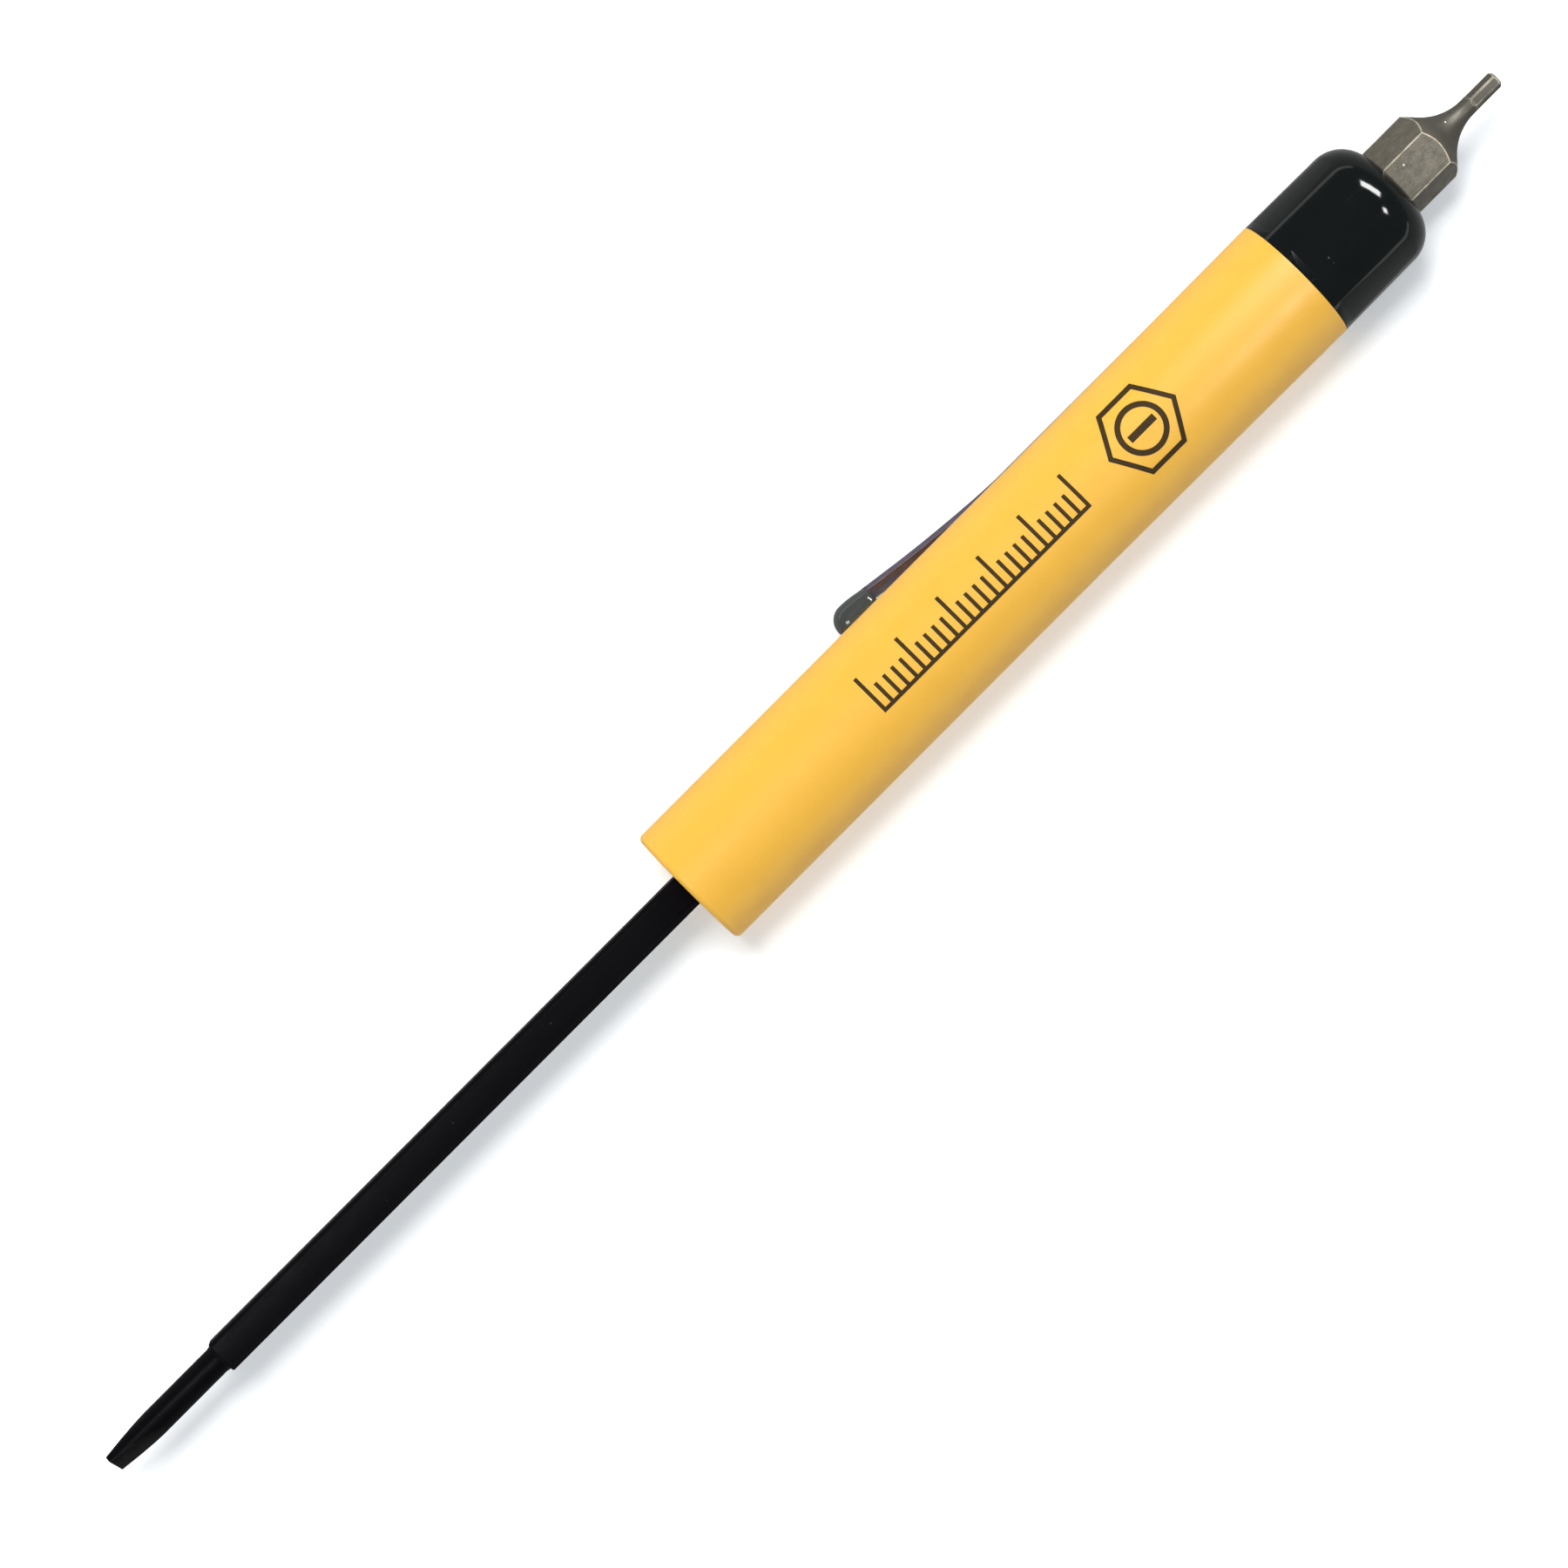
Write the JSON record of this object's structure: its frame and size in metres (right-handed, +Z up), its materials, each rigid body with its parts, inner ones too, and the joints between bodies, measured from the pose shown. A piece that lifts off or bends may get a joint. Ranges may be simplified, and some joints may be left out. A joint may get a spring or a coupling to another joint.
{
  "type": "pocket screwdriver",
  "caption": "Pocket screwdriver with a round barrel, a spring pocket clip, a pull-out reversible blade, and a fluted cap whose socket holds a hex bit.",
  "frame": {"origin": "on the axis, at the end of the blade's slotted tip", "axes": "+X along the handle's axis from the slotted tip to the cap and the bit, +Z up as the tool lies on its side on a table, +Y towards the side where the clip stands out"},
  "size_m": [0.1717, 0.0144, 0.0126],
  "materials": {
    "yellow_plastic": "satin gloss moulded plastic",
    "black_oxide_steel": "black oxide, slightly worn at the tip",
    "guide_nylon": "matte moulded nylon",
    "spring_steel": "bright strip",
    "black_plastic": "high gloss",
    "socket_steel": "plain machined",
    "magnet_nickel": "nickel plated",
    "bit_steel": "matte sand blasted tool steel",
    "clip_chrome": "bright chrome plate"
  },
  "bodies": {
    "handle": {"barrel": "yellow_plastic", "blade_guide": "guide_nylon", "blade_spring": "spring_steel", "cap": "black_plastic", "bit_socket": "socket_steel", "socket_magnet": "magnet_nickel", "clip_collar": "clip_chrome"},
    "blade": {"blade": "black_oxide_steel"},
    "bit": {"hex_bit": "bit_steel"},
    "clip": {"clip_arm": "clip_chrome"}
  },
  "joints": [
    {"name": "blade_pull", "type": "slide", "parent": "handle", "child": "blade", "axis": [-1, 0, 0], "range_m": [0, 0.027]},
    {"name": "bit_pull", "type": "slide", "parent": "handle", "child": "bit", "axis": [1, 0, 0], "range_m": [0, 0.0118]},
    {"name": "clip_flex", "type": "hinge", "parent": "handle", "child": "clip", "pos_m": [0.1457, 0.00561, -0.00399], "axis": [0, -0.5793, -0.8151], "range_deg": [0, 4.5], "stiffness_Nm_per_rad": 3.8, "springref_deg": -1.72}
  ]
}
